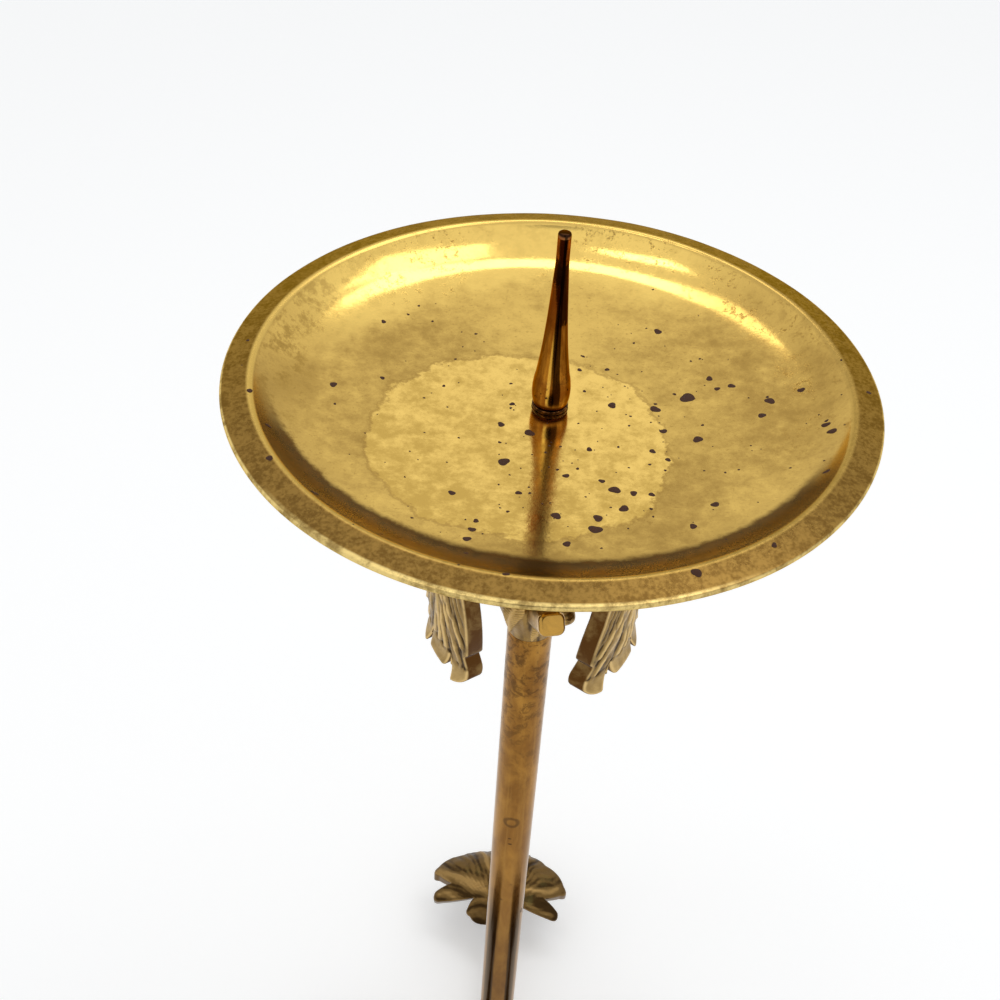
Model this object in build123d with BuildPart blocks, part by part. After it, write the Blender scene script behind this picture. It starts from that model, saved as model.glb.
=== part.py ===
"""Brass pricket candle stand: a spun drip pan on a plain tube, a leafy capital and three leaf feet.

Millimetres, +Z up. The origin is on the floor, on the stem's axis. The rear foot points along +Y.
One long tie rod pulls the hub, tube, capital, pan and pricket together.
"""
import os
from math import cos, radians, sin, tan

from build123d import *

os.makedirs("parts", exist_ok=True)

# Fits
slip_gap = 0.05  # radial clearance of a rod, spigot or stalk in its hole

# Tie rod, with the nut and washer that pull it tight
rod_diameter = 5.0
rod_thread_in_pricket = 10.0
rod_end_below_nut = 0.5
nut_height = 4.0
nut_across_flats = 8.0
base_washer_diameter = 14.0
base_washer_thickness = 1.0

# Base hub
hub_bottom = 7.0
hub_height = 13.0
hub_diameter = 18.0
hub_socket_height = 6.5  # stalk axis above the hub's underside
hub_socket_depth = 4.4
hub_edge_radius = 1.6

# Stem tube and the spigots inside its two ends
stem_diameter = 12.5
stem_wall = 1.0
stem_length = 221.0
spigot_length = 12.0

# Capital: a cast core that swells where its branches leave it, then opens to a seat under the pan
capital_height = 74.2
capital_swell_diameter = 20.0
capital_swell_height = 15.0
capital_waist_diameter = 14.0
capital_waist_height = 40.0
capital_seat_diameter = 38.0
capital_seat_edge = 2.0

# Drip pan
pan_diameter = 152.0
pan_depth = 10.9  # from the floor's middle to the inner edge of the rim
pan_sheet = 1.5
pan_flat_diameter = 40.0  # flat middle that lies on the capital's seat
pan_floor_diameter = 112.0
pan_dish = 3.0  # how far the floor's edge lies above its middle
rim_width = 7.0
rim_drop = 1.6  # how far the rim slopes down to its outer edge
rim_blend = 2.2
rim_edge_radius = 0.6

# Pricket and the ring under it
pricket_washer_diameter = 8.6
pricket_washer_thickness = 1.0
pricket_height = 45.0
pricket_base_diameter = 8.0
pricket_bulb_diameter = 9.1
pricket_bulb_height = 3.8
pricket_neck_diameter = 7.9
pricket_neck_height = 8.6
pricket_shank_diameter = 5.4
pricket_shank_height = 19.1
pricket_tip_diameter = 3.0
pricket_tip_length = 7.0
pricket_tip_edge = 0.35
pricket_hole_spare = 0.5  # empty thread above the rod's end

# Capital leaves: heights are above the capital's lower end, radii from the stem's axis
leaf_stalk_diameter = 6.4
leaf_stalk_angle = 62.0
leaf_root_radius = 6.0
leaf_root_height = 21.0
leaf_rise_radius = 15.0
leaf_hang_radius = 26.8
leaf_tip_radius = 24.25
leaf_tip_height = -1.0  # lowest point of the side lobes
leaf_thickness = 4.4
leaf_half_width = 11.2
leaf_neck_height = 38.0
leaf_neck_flare = 1.2  # how far the blade's neck is wider than its stalk, each side
leaf_shoulder_height = 33.0
leaf_shoulder_share = 0.88  # of the half width, as are the other shares and bows
leaf_notch_share = 0.42
leaf_middle_share = 0.39
leaf_tip_share = 0.32
leaf_end_share = 0.62  # where a side lobe's cut end stops
leaf_lobe_bow = 0.07  # how far the lobes' edges bow out
leaf_edge_bow = 0.015  # how far the straighter edges bow
leaf_step_height = 11.0  # small step between the upper and the lower lobe of each side
leaf_step_share = 0.90
leaf_step_drop = 1.5
leaf_notch_height = 6.4
leaf_lobe_lift = 3.0  # outer corner of the side lobes above their lowest point
leaf_middle_lift = 2.2  # squared end of the middle lobe above that point
leaf_middle_round = 1.3  # how far up the corners of that end start

# Twig stubs between the capital leaves
stub_width = 6.9
stub_depth = 6.3
stub_corner = 2.0
stub_angle = 35.0
stub_root_radius = 8.8
stub_reach = 21.5
stub_axis_height = 7.7  # where the stub's line meets the stem's axis
stub_end_edge = 0.7

# Leaf feet: radii from the stem's axis, heights from the floor
foot_stalk_diameter = 8.4
foot_level_radius = 16.0  # the stalk runs level as far as here
foot_join_radius = 51.0
foot_join_height = 21.5
foot_crest_radius = 59.0
foot_crest_height = 29.0
foot_rear_drop = 9.0  # how far the blade's rear end lies below the crest
foot_rear_radius = 38.0
foot_tip_radius = 72.0  # outer edge of the sole
foot_thickness = 5.0
foot_side_curve = 57.0  # radius of the blade's arch from side to side, at the crest
foot_half_width = 27.5
foot_twist = -7.5  # the blade is turned a little on its stalk
# Half outline of the blade, from the stalk to the tip: share of the length behind or in front of the crest,
# share of the half width, and how far the stretch that ends here bows out, also as a share of it
foot_back_lobes = [
    (-0.90, 0.34, 0.03),
    (-0.76, 0.40, 0.04),
    (-0.59, 0.33, 0.01),
    (-0.66, 0.82, 0.02),
    (-0.47, 0.95, 0.07),
    (-0.32, 0.72, 0.01),
    (-0.13, 0.94, 0.01),
]
foot_front_lobes = [
    (0.16, 0.98, 0.07),
    (0.70, 0.66, 0.05),
    (1.00, 0.40, 0.03),
    (1.34, 0.32, 0.02),
    (1.34, 0, 0),
]

# Where the leaves and stubs stand round the stem, in degrees from +X
leaf_places = {"rear": 90, "left": 210, "right": 330}
stub_places = {"front": 282, "right": 42, "left": 162}
leaf_count = len(leaf_places)
leaf_start = leaf_places["rear"]
stub_start = stub_places["right"]

# Heights of the stack, from the floor up
hub_top = hub_bottom + hub_height
stem_top = hub_top + stem_length
capital_top = stem_top + capital_height
pan_floor = capital_top + pan_sheet
rim_top = pan_floor + pan_depth
pricket_foot = pan_floor + pricket_washer_thickness
rod_top = pricket_foot + rod_thread_in_pricket
nut_top = hub_bottom - base_washer_thickness
nut_bottom = nut_top - nut_height
rod_bottom = nut_bottom - rod_end_below_nut

# Radii that pieces share
rod_hole_radius = rod_diameter / 2 + slip_gap
stem_radius = stem_diameter / 2
spigot_radius = stem_radius - stem_wall - slip_gap
leaf_socket_radius = leaf_stalk_diameter / 2 + slip_gap
foot_socket_radius = foot_stalk_diameter / 2 + slip_gap


def outward_plane(angle, radius, height):
    """A plane square to a line that climbs outward along +X at this angle, where the line has this radius."""
    direction = (cos(radians(angle)), 0, sin(radians(angle)))
    return Plane(origin=(radius, 0, height), x_dir=(0, 1, 0), z_dir=direction)


def sheet_below(line, sheet):
    """The point one sheet below the end of a line of a section."""
    along = line % 1
    return line @ 1 + Vector(along.Y, -along.X) * sheet


def lobed_edge(corners):
    """Half a leaf's edge through (along, across, bow) corners: each stretch bows by its own amount."""
    for (along, across, _), (next_along, next_across, bow) in zip(corners, corners[1:]):
        if bow:
            SagittaArc((along, across), (next_along, next_across), bow)
        else:
            Line((along, across), (next_along, next_across))


# Tie rod
with BuildPart() as tie_rod:
    with BuildSketch(Plane.XY.offset(rod_bottom)):
        Circle(rod_diameter / 2)
    extrude(amount=rod_top - rod_bottom)
tie_rod.part.label = "tie_rod"
export_step(tie_rod.part, "parts/tie_rod.step")

# Base nut
with BuildPart() as base_nut:
    with BuildSketch(Plane.XY.offset(nut_bottom)):
        RegularPolygon(nut_across_flats / 2, 6, major_radius=False)
        Circle(rod_hole_radius, mode=Mode.SUBTRACT)
    extrude(amount=nut_height)
base_nut.part.label = "base_nut"
export_step(base_nut.part, "parts/base_nut.step")

# Base washer
with BuildPart() as base_washer:
    with BuildSketch(Plane.XY.offset(nut_top)):
        Circle(base_washer_diameter / 2)
        Circle(rod_hole_radius, mode=Mode.SUBTRACT)
    extrude(amount=base_washer_thickness)
base_washer.part.label = "base_washer"
export_step(base_washer.part, "parts/base_washer.step")

# Base hub: a boss with a socket for each foot and a spigot up into the tube
with BuildPart() as base_hub:
    with BuildSketch(Plane.XY.offset(hub_bottom)):
        Circle(hub_diameter / 2)
    extrude(amount=hub_height)
    fillet(base_hub.edges().filter_by(GeomType.CIRCLE), hub_edge_radius)
    with BuildSketch(Plane.XY.offset(hub_top)):
        Circle(spigot_radius)
    extrude(amount=spigot_length)
    with BuildSketch(Plane.XY.offset(hub_bottom)):
        Circle(rod_hole_radius)
    extrude(amount=hub_height + spigot_length, mode=Mode.SUBTRACT)
    with Locations((0, 0, hub_bottom + hub_socket_height)):
        with PolarLocations(hub_diameter / 2 - hub_socket_depth, leaf_count, leaf_start):
            Cylinder(
                foot_socket_radius,
                hub_socket_depth,
                rotation=(0, 90, 0),
                align=(Align.CENTER, Align.CENTER, Align.MIN),
                mode=Mode.SUBTRACT,
            )
base_hub.part.label = "base_hub"
export_step(base_hub.part, "parts/base_hub.step")

# Stem tube
with BuildPart() as stem_tube:
    with BuildSketch(Plane.XY.offset(hub_top)):
        Circle(stem_radius)
        Circle(stem_radius - stem_wall, mode=Mode.SUBTRACT)
    extrude(amount=stem_length)
stem_tube.part.label = "stem_tube"
export_step(stem_tube.part, "parts/stem_tube.step")

# Twig stub pattern, pointing along +X, and the socket that takes it
stub_root_height = stem_top + stub_axis_height + stub_root_radius * tan(radians(stub_angle))
stub_root = outward_plane(stub_angle, stub_root_radius, stub_root_height)
stub_length = (stub_reach - stub_root_radius) / cos(radians(stub_angle))
with BuildPart() as stub_pattern:
    with BuildSketch(stub_root):
        RectangleRounded(stub_width, stub_depth, stub_corner)
    extrude(amount=stub_length)
    chamfer(stub_pattern.faces().sort_by(Axis.X)[-1].edges(), stub_end_edge)
with BuildPart() as stub_socket:
    with BuildSketch(stub_root):
        RectangleRounded(stub_width + 2 * slip_gap, stub_depth + 2 * slip_gap, stub_corner + slip_gap)
    extrude(amount=stub_length)
for place, azimuth in stub_places.items():
    with BuildPart() as twig_stub:
        add(stub_pattern.part, rotation=(0, 0, azimuth))
    twig_stub.part.label = f"twig_stub_{place}"
    export_step(twig_stub.part, f"parts/twig_stub_{place}.step")

# Capital leaf pattern, along +X: a stalk that climbs and turns over, and a lobed blade that hangs from it
leaf_root_point = Vector(leaf_root_radius, stem_top + leaf_root_height)
stalk_climb = Vector(cos(radians(leaf_stalk_angle)), sin(radians(leaf_stalk_angle)))
rise_end = leaf_root_point + stalk_climb * ((leaf_rise_radius - leaf_root_radius) / stalk_climb.X)
turn_radius = (leaf_hang_radius - leaf_rise_radius) / (1 + stalk_climb.Y)
leaf_turn = 90 + leaf_stalk_angle
half_leaf = Vector(-stalk_climb.Y, stalk_climb.X) * (leaf_thickness / 2)
leaf_neck = leaf_stalk_diameter / 2
leaf_crown = rise_end.Y - stem_top + turn_radius + leaf_thickness
leaf_middle_end = leaf_tip_height + leaf_middle_lift
leaf_swell = -leaf_lobe_bow * leaf_half_width
leaf_ease = -leaf_edge_bow * leaf_half_width
leaf_corners = [
    (leaf_crown, 0, 0),
    (leaf_crown, leaf_neck, 0),
    (leaf_neck_height, leaf_neck + leaf_neck_flare, -leaf_ease),
    (leaf_shoulder_height, leaf_half_width * leaf_shoulder_share, leaf_swell),
    (leaf_step_height, leaf_half_width, leaf_swell),
    (leaf_step_height - leaf_step_drop, leaf_half_width * leaf_step_share, 0),
    (leaf_tip_height + leaf_lobe_lift, leaf_half_width, leaf_ease),
    (leaf_tip_height, leaf_half_width * leaf_end_share, leaf_swell),
    (leaf_notch_height, leaf_half_width * leaf_notch_share, leaf_ease),
    (leaf_middle_end + leaf_middle_round, leaf_half_width * leaf_middle_share, leaf_ease),
    (leaf_middle_end, leaf_half_width * leaf_tip_share, leaf_ease),
    (leaf_middle_end, 0, 0),
]
with BuildPart() as leaf_pattern:
    with BuildSketch(Plane.XZ):
        with BuildLine():
            tip_end = stem_top + leaf_tip_height - leaf_thickness
            over = JernArc(rise_end + half_leaf, stalk_climb, turn_radius + leaf_thickness / 2, -leaf_turn)
            outside = TangentArc(over @ 1, (leaf_tip_radius + leaf_thickness / 2, tip_end), tangent=over % 1)
            under = JernArc(rise_end - half_leaf, stalk_climb, turn_radius - leaf_thickness / 2, -leaf_turn)
            inside = TangentArc(under @ 1, (leaf_tip_radius - leaf_thickness / 2, tip_end), tangent=under % 1)
            Line(outside @ 1, inside @ 1)
            Line(over @ 0, under @ 0)
        make_face()
    revolve(axis=Axis.Z)
    with BuildSketch(Plane(origin=(0, 0, stem_top), x_dir=(0, 0, 1), z_dir=(1, 0, 0))):
        with BuildLine():
            lobed_edge(leaf_corners)
            mirror(about=Plane.XZ)
        make_face()
    extrude(amount=leaf_hang_radius + leaf_thickness, mode=Mode.INTERSECT)
    with BuildLine(Plane.XZ) as leaf_stalk:
        Line((leaf_root_point.X, leaf_root_point.Y), (rise_end.X, rise_end.Y))
        JernArc((rise_end.X, rise_end.Y), (stalk_climb.X, stalk_climb.Y), turn_radius, -leaf_stalk_angle)
    with BuildSketch(Plane(leaf_stalk.line @ 0, z_dir=leaf_stalk.line % 0)):
        Circle(leaf_neck)
    sweep(path=leaf_stalk.line)
for place, azimuth in leaf_places.items():
    with BuildPart() as capital_leaf:
        add(leaf_pattern.part, rotation=(0, 0, azimuth))
    capital_leaf.part.label = f"capital_leaf_{place}"
    export_step(capital_leaf.part, f"parts/capital_leaf_{place}.step")

# Capital: turned profile with a spigot below, drilled for the rod and socketed for leaves and stubs
with BuildPart() as capital:
    with BuildSketch(Plane.XZ):
        with BuildLine():
            swell = (capital_swell_diameter / 2, stem_top + capital_swell_height)
            waist = (capital_waist_diameter / 2, stem_top + capital_waist_height)
            seat_low = (capital_seat_diameter / 2, capital_top - capital_seat_edge)
            core = Polyline(
                (rod_hole_radius, capital_top),
                (rod_hole_radius, stem_top - spigot_length),
                (spigot_radius, stem_top - spigot_length),
                (spigot_radius, stem_top),
                (stem_radius, stem_top),
            )
            flare = Spline(core @ 1, swell, waist, seat_low, tangents=((0, 1), (1, 0.35)))
            Polyline(flare @ 1, (capital_seat_diameter / 2, capital_top), (rod_hole_radius, capital_top))
        make_face()
    revolve(axis=Axis.Z)
    with PolarLocations(0, leaf_count, stub_start):
        add(stub_socket.part, mode=Mode.SUBTRACT)
    with Locations((0, 0, stem_top + leaf_root_height)):
        with PolarLocations(leaf_root_radius, leaf_count, leaf_start):
            Cylinder(
                leaf_socket_radius,
                capital_height,
                rotation=(0, 90 - leaf_stalk_angle, 0),
                align=(Align.CENTER, Align.CENTER, Align.MIN),
                mode=Mode.SUBTRACT,
            )
capital.part.label = "capital"
export_step(capital.part, "parts/capital.step")

# Drip pan: one spun sheet with a flat middle, a dished floor, a hollow wall and a rim that slopes outward
pan_radius = pan_diameter / 2
rim_inner_radius = pan_radius - rim_width
with BuildPart() as drip_pan:
    with BuildSketch(Plane.XZ):
        with BuildLine():
            middle = Line((rod_hole_radius, pan_floor), (pan_flat_diameter / 2, pan_floor))
            dish = TangentArc(middle @ 1, (pan_floor_diameter / 2, pan_floor + pan_dish), tangent=middle % 1)
            wall = TangentArc(dish @ 1, (rim_inner_radius, rim_top), tangent=dish % 1)
            rim = Line(wall @ 1, (pan_radius, rim_top - rim_drop))
            under_middle = Line((rod_hole_radius, capital_top), (pan_flat_diameter / 2, capital_top))
            under_dish = TangentArc(under_middle @ 1, sheet_below(dish, pan_sheet), tangent=middle % 1)
            wall_back = TangentArc(
                under_dish @ 1, sheet_below(wall, pan_sheet), tangent=dish % 1, mode=Mode.PRIVATE
            )
            under_rim = IntersectingLine(sheet_below(rim, pan_sheet), rim % 1 * -1, wall_back)
            TangentArc(under_dish @ 1, under_rim @ 1, tangent=dish % 1)
            Line(middle @ 0, under_middle @ 0)
            Line(rim @ 1, under_rim @ 0)
        make_face()
    revolve(axis=Axis.Z)
    round_edges = drip_pan.edges().filter_by(Plane.XY).sort_by(SortBy.RADIUS)
    fillet(round_edges[-2:], rim_edge_radius)
    fillet(round_edges[-4], rim_blend)
drip_pan.part.label = "drip_pan"
export_step(drip_pan.part, "parts/drip_pan.step")

# Ring between the pricket and the pan
with BuildPart() as pricket_washer:
    with BuildSketch(Plane.XY.offset(pan_floor)):
        Circle(pricket_washer_diameter / 2)
        Circle(rod_hole_radius, mode=Mode.SUBTRACT)
    extrude(amount=pricket_washer_thickness)
pricket_washer.part.label = "pricket_washer"
export_step(pricket_washer.part, "parts/pricket_washer.step")

# Pricket: turned bulb and long taper to a blunt tip, tapped from below
with BuildPart() as pricket:
    with BuildSketch(Plane.XZ):
        with BuildLine():
            tip_start = pricket_height - pricket_tip_length
            base = Polyline(
                (0, pricket_foot + pricket_height),
                (0, pricket_foot),
                (pricket_base_diameter / 2, pricket_foot),
            )
            bulb = ThreePointArc(
                base @ 1,
                (pricket_bulb_diameter / 2, pricket_foot + pricket_bulb_height),
                (pricket_neck_diameter / 2, pricket_foot + pricket_neck_height),
            )
            taper = ThreePointArc(
                bulb @ 1,
                (pricket_shank_diameter / 2, pricket_foot + pricket_shank_height),
                (pricket_tip_diameter / 2, pricket_foot + tip_start),
            )
            Polyline(
                taper @ 1,
                (pricket_tip_diameter / 2, pricket_foot + pricket_height),
                (0, pricket_foot + pricket_height),
            )
        make_face()
    revolve(axis=Axis.Z)
    fillet(pricket.edges().filter_by(GeomType.CIRCLE).sort_by(Axis.Z)[-1], pricket_tip_edge)
    with BuildSketch(Plane.XY.offset(pricket_foot)):
        Circle(rod_hole_radius)
    extrude(amount=rod_thread_in_pricket + pricket_hole_spare, mode=Mode.SUBTRACT)
pricket.part.label = "pricket"
export_step(pricket.part, "parts/pricket.step")

# Leaf foot pattern, along +X: a level stalk out of the hub, and a lobed blade arched both ways
foot_axis_height = hub_bottom + hub_socket_height
foot_back_length = foot_crest_radius - foot_rear_radius
foot_front_length = foot_tip_radius - foot_crest_radius
foot_corners = [
    (-foot_back_length, 0, 0),
    (-foot_back_length, foot_stalk_diameter / 2, 0),
    *((u * foot_back_length, v * foot_half_width, bow * foot_half_width) for u, v, bow in foot_back_lobes),
    *((u * foot_front_length, v * foot_half_width, bow * foot_half_width) for u, v, bow in foot_front_lobes),
]
with BuildPart() as foot_pattern:
    with BuildSketch(Plane.XZ):
        with BuildLine():
            crest = Vector(foot_crest_radius, foot_crest_height)
            rear = Vector(foot_rear_radius, foot_crest_height - foot_rear_drop)
            down = Vector(0, -foot_thickness)
            back = TangentArc(crest, rear, tangent=(-1, 0))
            front = TangentArc(crest, (foot_tip_radius, 0), tangent=(1, 0))
            back_under = TangentArc(crest + down, rear + down, tangent=(-1, 0))
            front_under = TangentArc(crest + down, (foot_tip_radius - foot_thickness, 0), tangent=(1, 0))
            Line(back @ 1, back_under @ 1)
            Polyline(front @ 1, front @ 1 + down, front_under @ 1 + down, front_under @ 1)
        make_face()
    revolve(axis=Axis((0, 0, foot_crest_height - foot_side_curve), (1, 0, 0)))
    with BuildSketch(Plane((foot_crest_radius, 0, 0)).rotated((0, 0, foot_twist))):
        with BuildLine():
            lobed_edge(foot_corners)
            mirror(about=Plane.XZ)
        make_face()
    extrude(amount=foot_crest_height + foot_thickness, mode=Mode.INTERSECT)
    with BuildLine(Plane.XZ) as foot_stalk:
        socket_end = hub_diameter / 2 - hub_socket_depth
        level = Line((socket_end, foot_axis_height), (foot_level_radius, foot_axis_height))
        TangentArc(level @ 1, (foot_join_radius, foot_join_height), tangent=level % 1)
    with BuildSketch(Plane(foot_stalk.line @ 0, z_dir=foot_stalk.line % 0)):
        Circle(foot_stalk_diameter / 2)
    sweep(path=foot_stalk.line)
for place, azimuth in leaf_places.items():
    with BuildPart() as leaf_foot:
        add(foot_pattern.part, rotation=(0, 0, azimuth))
    leaf_foot.part.label = f"leaf_foot_{place}"
    export_step(leaf_foot.part, f"parts/leaf_foot_{place}.step")
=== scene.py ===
"""Looks of the brass pricket candle stand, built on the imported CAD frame."""
from math import acos, atan2, cos, hypot, pi, radians, sin, sqrt, tan

import bpy
import numpy as np
from numpy.linalg import norm
from mathutils import Matrix, Vector


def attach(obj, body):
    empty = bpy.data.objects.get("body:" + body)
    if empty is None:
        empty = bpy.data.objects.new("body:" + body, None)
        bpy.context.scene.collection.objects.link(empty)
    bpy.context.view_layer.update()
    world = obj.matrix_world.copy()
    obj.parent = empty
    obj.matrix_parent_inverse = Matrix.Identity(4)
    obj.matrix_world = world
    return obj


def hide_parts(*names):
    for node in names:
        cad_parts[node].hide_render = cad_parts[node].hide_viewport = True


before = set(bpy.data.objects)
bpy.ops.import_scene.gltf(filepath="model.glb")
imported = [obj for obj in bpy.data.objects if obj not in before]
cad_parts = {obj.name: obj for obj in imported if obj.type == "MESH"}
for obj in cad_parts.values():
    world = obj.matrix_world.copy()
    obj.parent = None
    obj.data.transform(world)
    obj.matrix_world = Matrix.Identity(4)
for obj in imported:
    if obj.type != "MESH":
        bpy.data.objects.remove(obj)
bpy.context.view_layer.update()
scene = bpy.context.scene
scene.view_settings.view_transform = "Standard"
MM = 0.001

# Sizes of the stand, in millimetres, as in the CAD model
HUB_BOTTOM, HUB_TOP, HUB_RADIUS = 7.0, 20.0, 9.0
STEM_RADIUS, STEM_WALL, STEM_TOP = 6.25, 1.0, 241.0
SPIGOT_RADIUS, SPIGOT_LENGTH = 5.2, 12.0
CAPITAL_TOP, SEAT_RADIUS = 315.2, 19.0
PAN_FLOOR, DISH, SHEET, RIM_EDGE = 316.7, 3.0, 1.5, 0.6
PAN_FLAT, PAN_WALL, RIM_INNER, PAN_RADIUS = 20.0, 56.0, 69.0, 76.0
RIM_TOP, RIM_OUTER_TOP = 327.6, 326.0
PRICKET_FOOT, PRICKET_RING = 317.7, 4.3
ROD_RADIUS, ROD_HOLE, ROD_BOTTOM, ROD_TOP = 2.5, 2.55, 1.5, 327.7
THREAD_PITCH = 0.8
NUT_BOTTOM, NUT_TOP, NUT_FLATS, WASHER_RADIUS = 2.0, 6.0, 8.0, 7.0
LEAF_PLACES = {"rear": 90, "left": 210, "right": 330}
STUB_PLACES = {"front": 282, "right": 42, "left": 162}


# Mesh helpers

def piece(name, verts_mm, faces, material, node, slot, body="stand", attributes=None):
    """A smooth mesh piece from millimetre points that rides a body and may stand for a CAD node."""
    mesh = bpy.data.meshes.new(name)
    mesh.from_pydata((np.asarray(verts_mm, float) * MM).tolist(), [], faces)
    mesh.polygons.foreach_set("use_smooth", [True] * len(mesh.polygons))
    for key, values in (attributes or {}).items():
        layer = mesh.attributes.new(key, "FLOAT", "POINT")
        layer.data.foreach_set("value", np.asarray(values, np.float32))
    mesh.update()
    obj = bpy.data.objects.new(name, mesh)
    scene.collection.objects.link(obj)
    mesh.materials.append(material)
    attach(obj, body)
    if node:
        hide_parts(node)


def rounded(points, radii, steps=8):
    """A polyline with its inner corners rounded to these radii."""
    pts = [np.array(p, float) for p in points]
    out = [pts[0]]
    for i in range(1, len(pts) - 1):
        a, b, c, r = pts[i - 1], pts[i], pts[i + 1], radii[i - 1]
        u, v = (a - b) / norm(a - b), (c - b) / norm(c - b)
        half = acos(np.clip(u @ v, -1, 1)) / 2
        if r <= 0 or abs(half - pi / 2) < 1e-4:
            out.append(b)
            continue
        reach = r / tan(half)
        middle = b + (u + v) / norm(u + v) * (r / sin(half))
        start, end = b + u * reach - middle, b + v * reach - middle
        turn = pi - 2 * half
        for k in range(steps + 1):
            t = k / steps
            p = (sin((1 - t) * turn) * start + sin(t * turn) * end) / sin(turn)
            out.append(middle + p)
    out.append(pts[-1])
    return np.array(out)


def filled(path, step):
    """The same path with extra points on its long stretches."""
    out = [path[0]]
    for a, b in zip(path[:-1], path[1:]):
        n = max(1, int(norm(b - a) / step))
        out += [a + (b - a) * k / n for k in range(1, n + 1)]
    return np.array(out)


def ring_faces(first, second, count):
    """Faces between two rings of points that start at these numbers."""
    return [(first + k, first + (k + 1) % count, second + (k + 1) % count, second + k) for k in range(count)]


def bar_faces(rows, around):
    """Faces of a bar of this many rings of points, with both ends closed."""
    faces = [face for i in range(rows - 1) for face in ring_faces(i * around, (i + 1) * around, around)]
    return faces + [tuple(range(around))[::-1], tuple(range((rows - 1) * around, rows * around))]


def flipped(faces):
    """The same faces seen from the other side, each from its first point."""
    return [face[:1] + face[:0:-1] for face in faces]


def lathe(profile, segments, shape=None, closed=False):
    """Points and faces of a turned form. A closed profile runs on from its last point to its first."""
    profile = np.asarray(profile, float)
    n = len(profile)
    angle = np.arange(segments) * 2 * pi / segments
    r = np.repeat(profile[:, 0:1], segments, 1)
    z = np.repeat(profile[:, 1:2], segments, 1)
    a = np.repeat(angle[None, :], n, 0)
    if shape:
        r, z = shape(r, z, a)
    verts = np.stack([r * np.cos(a), r * np.sin(a), z], -1).reshape(-1, 3)
    faces = []
    for i in range(n if closed else n - 1):
        faces += ring_faces(i * segments, (i + 1) % n * segments, segments)
    return verts, faces


def wave(x, y, z, seed, size):
    """A smooth, repeatable unevenness between about -1 and 1 with features of this size."""
    rng = np.random.default_rng(seed)
    total = 0
    for _ in range(6):
        d = rng.normal(size=3)
        d *= rng.uniform(0.7, 1.6) * 2 * pi / size / norm(d)
        total = total + np.sin(x * d[0] + y * d[1] + z * d[2] + rng.uniform(0, 2 * pi))
    return total / 3.0


# Material helpers

def add_node(tree, kind, inputs=None, **settings):
    """A node with these settings, its inputs set to a value or linked to a socket."""
    made = tree.nodes.new("ShaderNode" + kind)
    for key, value in settings.items():
        setattr(made, key, value)
    for key, value in (inputs or {}).items():
        give(tree, value, made.inputs[key])
    return made


def give(tree, value, socket):
    if isinstance(value, bpy.types.NodeSocket):
        tree.links.new(value, socket)
    else:
        socket.default_value = value


class Shader:
    """A node material with a principled surface and short calls for its textures, in millimetres."""

    def __init__(self, name, **constants):
        self.material = bpy.data.materials.new(name)
        self.material.use_nodes = True
        self.tree = self.material.node_tree
        self.surface = self.tree.nodes["Principled BSDF"]
        self.into(**constants)
        place = {0: self.node("TexCoord").outputs["Object"], "Scale": 1 / MM}
        self.mm = self.node("VectorMath", place, operation="SCALE").outputs[0]

    def node(self, kind, inputs=None, **settings):
        return add_node(self.tree, kind, inputs, **settings)

    def into(self, **sockets):
        for key, value in sockets.items():
            give(self.tree, value, self.surface.inputs[key.replace("_", " ")])

    def stretch(self, scale):
        return self.node("Mapping", {"Vector": self.mm, "Scale": scale}).outputs[0]

    def noise(self, size, detail, rough, twist=0.0, stretch=None):
        inputs = {"Vector": self.stretch(stretch) if stretch else self.mm, "Scale": 1 / size,
                  "Detail": detail, "Roughness": rough, "Distortion": twist}
        return self.node("TexNoise", inputs).outputs["Fac"]

    def math(self, operation, a, b=0.0, clamp=False):
        return self.node("Math", {0: a, 1: b}, operation=operation, use_clamp=clamp).outputs[0]

    def times(self, first, *others):
        for value in others:
            first = self.math("MULTIPLY", first, value)
        return first

    def plus(self, first, *others, clamp=False):
        for value in others:
            first = self.math("ADD", first, value, clamp)
        return first

    def swing(self, value, amount):
        """How far a 0 to 1 value lies from its middle, times an amount."""
        return self.times(self.math("SUBTRACT", value, 0.5), amount)

    def span(self, value, low, high, to_low=0.0, to_high=1.0):
        inputs = {"Value": value, "From Min": low, "From Max": high, "To Min": to_low, "To Max": to_high}
        return self.node("MapRange", inputs, interpolation_type="SMOOTHSTEP").outputs["Result"]

    def mix(self, share, a, b):
        return self.node("Mix", {"Factor": share, 6: a, 7: b}, data_type="RGBA").outputs[2]

    def paint(self, share, colour):
        """Lays a colour over the surface's colour so far."""
        self.colour = self.mix(share, self.colour, colour)

    def blend(self, share, a, b):
        return self.node("Mix", {"Factor": share, 2: a, 3: b}, data_type="FLOAT").outputs[0]

    def far_from(self, point, stretch=(1, 1, 0)):
        return self.measure("DISTANCE", self.stretch(stretch), point)

    def along(self, way):
        return self.measure("DOT_PRODUCT", self.mm, way)

    def measure(self, operation, a, b):
        return self.node("VectorMath", {0: a, 1: b}, operation=operation).outputs["Value"]

    def stored(self, name):
        return self.node("Attribute", attribute_name=name).outputs["Fac"]

    def height(self):
        return self.node("SeparateXYZ", {0: self.mm}).outputs[2]

    def bump(self, height, depth_mm, under=None):
        inputs = {"Distance": depth_mm * MM, "Strength": 1.0, "Height": height}
        if under:
            inputs["Normal"] = under
        return self.node("Bump", inputs).outputs[0]


def rgb(r, g, b):
    """A screen colour, 0 to 255, as the linear colour a shader takes."""
    def one(c):
        c /= 255
        return c / 12.92 if c <= 0.04045 else ((c + 0.055) / 1.055) ** 2.4
    return (one(r), one(g), one(b), 1.0)


# Materials

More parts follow.
